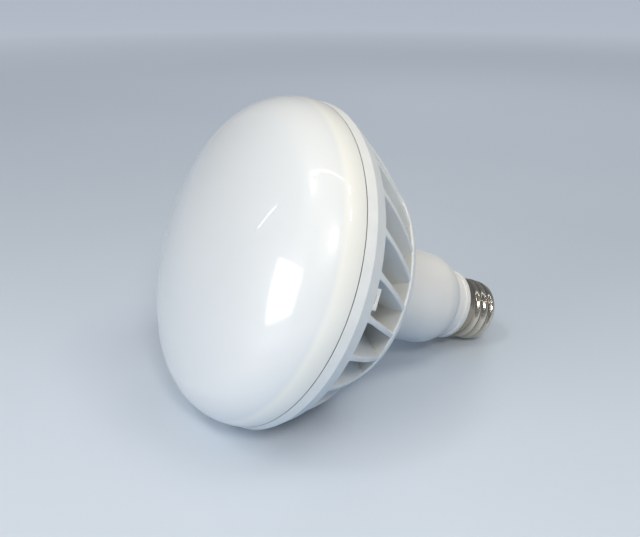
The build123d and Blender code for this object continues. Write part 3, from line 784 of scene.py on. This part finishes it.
no_metal, metal, coarse_grain, fine_grain = 0.0, 1.0, 300.0, 900.0
inner_looks = {
    "bare_aluminium": ((0.66, 0.67, 0.68), (0.76, 0.77, 0.78), 0.32, metal, coarse_grain),
    "board_white": ((0.84, 0.84, 0.82), (0.90, 0.90, 0.88), 0.35, no_metal, coarse_grain),
    "diode_yellow": ((0.86, 0.70, 0.20), (0.94, 0.82, 0.34), 0.3, no_metal, fine_grain),
    "connector_white": ((0.80, 0.79, 0.75), (0.86, 0.85, 0.81), 0.4, no_metal, coarse_grain),
    "screw_steel": ((0.52, 0.52, 0.53), (0.66, 0.66, 0.67), 0.3, metal, coarse_grain),
    "board_green": ((0.07, 0.28, 0.14), (0.12, 0.38, 0.20), 0.35, no_metal, coarse_grain),
    "coil_tape": ((0.70, 0.52, 0.08), (0.84, 0.66, 0.14), 0.4, no_metal, coarse_grain),
    "ferrite": ((0.08, 0.08, 0.085), (0.15, 0.15, 0.16), 0.6, no_metal, coarse_grain),
    "sleeve_dark": ((0.05, 0.06, 0.11), (0.09, 0.10, 0.16), 0.25, no_metal, coarse_grain),
    "case_red": ((0.45, 0.07, 0.04), (0.60, 0.12, 0.07), 0.25, no_metal, coarse_grain),
    "coil_sleeve": ((0.03, 0.03, 0.03), (0.07, 0.07, 0.07), 0.5, no_metal, coarse_grain),
    "chip_black": ((0.03, 0.03, 0.033), (0.065, 0.065, 0.07), 0.5, no_metal, fine_grain),
    "resistor_body": ((0.38, 0.48, 0.33), (0.50, 0.60, 0.45), 0.45, no_metal, coarse_grain),
    "lead_red": ((0.50, 0.03, 0.02), (0.66, 0.07, 0.05), 0.4, no_metal, coarse_grain),
    "lead_black": ((0.025, 0.025, 0.025), (0.06, 0.06, 0.06), 0.4, no_metal, coarse_grain),
}
inner_finishes = {name: inner_finish(name, *look) for name, look in inner_looks.items()}
print("inner finishes ready:", len(inner_finishes))

# %% Dress the inner pieces
dressed = 0
for subpart in frame["record"]["subparts"]:
    finish = inner_finishes.get(subpart["material_slot"])
    if finish is not None:
        node = frame["nodes"][subpart["node"]]
        node.data.materials.clear()
        node.data.materials.append(finish)
        dressed += 1
print("inner nodes dressed:", dressed)

# %% [markdown]
# ## Floor and light
# The floor is a wide pale sheet that keeps the lamp's soft shadow. To the camera it glows a little where it
# is far away, so that it stays pale there, and it throws back less light than it shows. A glossy dome shows
# every lamp of the studio, so each small light stands where the dome mirrors it towards the camera: a window
# in front of the dome with a narrow strip beside it, a lamp over the camera's right shoulder, two warm ones
# behind it, and a tube and a round lamp overhead. Four wide soft panels do the rest of the lighting and are
# kept out of the reflections. The powers are low, because the white coat has to stay under pure white, and
# the world fills in a little.

# %% Floor
floor_half = 6
floor_corners = [(x * floor_half, y * floor_half, 0) for x, y in ((-1, -1), (1, -1), (1, 1), (-1, 1))]
floor_data = bpy.data.meshes.new("floor")
floor_data.from_pydata(floor_corners, [], [(0, 1, 2, 3)])
floor = bpy.data.objects.new("floor", floor_data)
bpy.context.scene.collection.objects.link(floor)
print("floor laid")


# %% Floor finish
def seen_straight(tree):
    """1 for rays from the camera, from a mirror or through glass, and 0 for light that bounces softly."""
    rays = tree.nodes.new("ShaderNodeLightPath")
    found = rays.outputs["Is Camera Ray"]
    for name in ("Is Glossy Ray", "Is Transmission Ray"):
        larger = tree.nodes.new("ShaderNodeMath")
        larger.operation = "MAXIMUM"
        tree.links.new(found, larger.inputs[0])
        tree.links.new(rays.outputs[name], larger.inputs[1])
        found = larger.outputs["Value"]
    return found


backdrop_glow, glow_start, glow_end = 0.42, 0.35, 2.4
bounce_colour, glow_colour = (0.30, 0.43, 0.62), (0.70, 0.77, 0.86)
pale, tree, shader = start_finish("pale_floor", (0.66, 0.73, 0.82), 0.6)
weave = add_noise(tree, 3.0, 2.0)
seen = shade_between(tree, weave, (0.65, 0.72, 0.81), (0.67, 0.74, 0.83))
straight = seen_straight(tree)
bounce = tree.nodes.new("ShaderNodeMix")
bounce.data_type = "RGBA"
bounce.inputs["A"].default_value = (*bounce_colour, 1.0)
tree.links.new(straight, bounce.inputs["Factor"])
tree.links.new(seen, bounce.inputs["B"])
tree.links.new(bounce.outputs["Result"], shader.inputs["Base Color"])
distance = tree.nodes.new("ShaderNodeVectorMath")
distance.operation = "LENGTH"
tree.links.new(tree.nodes["place"].outputs["Object"], distance.inputs[0])
far_glow = level_between(tree, distance.outputs["Value"], 0.0, backdrop_glow, glow_start, glow_end)
glow = tree.nodes.new("ShaderNodeMath")
glow.operation = "MULTIPLY"
tree.links.new(straight, glow.inputs[0])
tree.links.new(far_glow, glow.inputs[1])
tree.links.new(glow.outputs["Value"], shader.inputs["Emission Strength"])
shader.inputs["Emission Color"].default_value = (*glow_colour, 1.0)
floor_data.materials.append(pale)
print("floor finish ready")


# %% Flat lamps
def panel(name, middle, width_way, height_way, watts, colour=white, shape="RECTANGLE", mirrored=True):
    """A flat lamp from its middle and its two edges as vectors in metres; it shines towards the dome."""
    middle, width_way, height_way = Vector(middle), Vector(width_way), Vector(height_way)
    light = bpy.data.lights.new(name, "AREA")
    light.shape = shape
    light.size, light.size_y = width_way.length, height_way.length
    light.energy = watts
    light.color = colour
    first = width_way.normalized()
    facing = first.cross(height_way).normalized()
    if facing.dot(middle - seam_point) < 0:
        facing = -facing
    lamp = bpy.data.objects.new(name, light)
    bpy.context.scene.collection.objects.link(lamp)
    columns = Matrix((first, facing.cross(first), facing)).transposed().to_4x4()
    lamp.matrix_world = Matrix.Translation(middle) @ columns
    lamp.visible_glossy = mirrored


print("lamp helper ready")

# %% Lamps that the dome mirrors
daylight, warm = (1.0, 0.99, 0.97), (1.0, 0.96, 0.88)
panel("window", (0.15, -1.42, 0.43), (0.90, 0.12, 0.11), (-0.14, 0.13, 0.54), 8.2, daylight)
panel("narrow_strip", (-0.672, -1.198, 0.80), (0.012, -0.008, 0.0), (0.066, 0.092, 0.22), 0.12)
panel("ceiling_lamp", (0.018, -0.69, 1.38), (0.14, 0.12, 0.07), (0.10, -0.10, -0.05), 1.4, shape="ELLIPSE")
panel("ceiling_tube", (0.155, -0.125, 1.42), (0.625, 1.07, 0.015), (0.035, -0.02, 0.0), 0.8)
panel("shoulder_lamp", (0.735, -0.205, 0.71), (0.05, 0.16, -0.03), (-0.11, 0.01, 0.13), 2.0, warm)
panel("back_lamp_high", (0.426, 0.374, 0.914), (0.075, -0.033, -0.019), (0.012, 0.035, -0.012), 0.20, warm)
panel("back_lamp_low", (0.670, 0.316, 0.773), (0.080, -0.026, -0.056), (0.012, 0.042, -0.008), 0.28, warm)
print("mirrored lamps set")

# %% Soft panels
panel("soft_right", (0.80, -0.50, 0.75), (0.25, 0.40, 0.0), (-0.30, 0.20, 0.35), 2.9, warm, mirrored=False)
panel("soft_back", (0.35, 0.40, 1.20), (0.40, -0.30, 0.0), (0.20, 0.20, -0.40), 2.8, warm, mirrored=False)
panel("soft_rear", (-0.80, 0.80, 0.90), (0.50, 0.50, 0.0), (0.20, -0.20, 0.40), 2.0, mirrored=False)
panel("soft_front", (0.30, -0.75, 1.15), (0.50, 0.10, 0.0), (0.0, 0.30, 0.30), 1.4, warm, mirrored=False)
print("soft panels set")

# %% World
sky_colour, fill_level, horizon_height = (0.84, 0.91, 1.0), 0.22, 0.45
world = bpy.data.worlds.new("studio")
bpy.context.scene.world = world
world.use_nodes = True
tree = world.node_tree
sky = tree.nodes["Background"]
sky.inputs["Color"].default_value = (*sky_colour, 1.0)
way = tree.nodes.new("ShaderNodeTexCoord")
height = tree.nodes.new("ShaderNodeSeparateXYZ")
tree.links.new(way.outputs["Generated"], height.inputs["Vector"])
backdrop = level_between(tree, height.outputs["Z"], backdrop_glow, fill_level, 0.0, horizon_height)
strength = tree.nodes.new("ShaderNodeMix")
strength.inputs["A"].default_value = fill_level
tree.links.new(seen_straight(tree), strength.inputs["Factor"])
tree.links.new(backdrop, strength.inputs["B"])
tree.links.new(strength.outputs["Result"], sky.inputs["Strength"])
bpy.context.scene.view_settings.view_transform = "Standard"
print("world set")
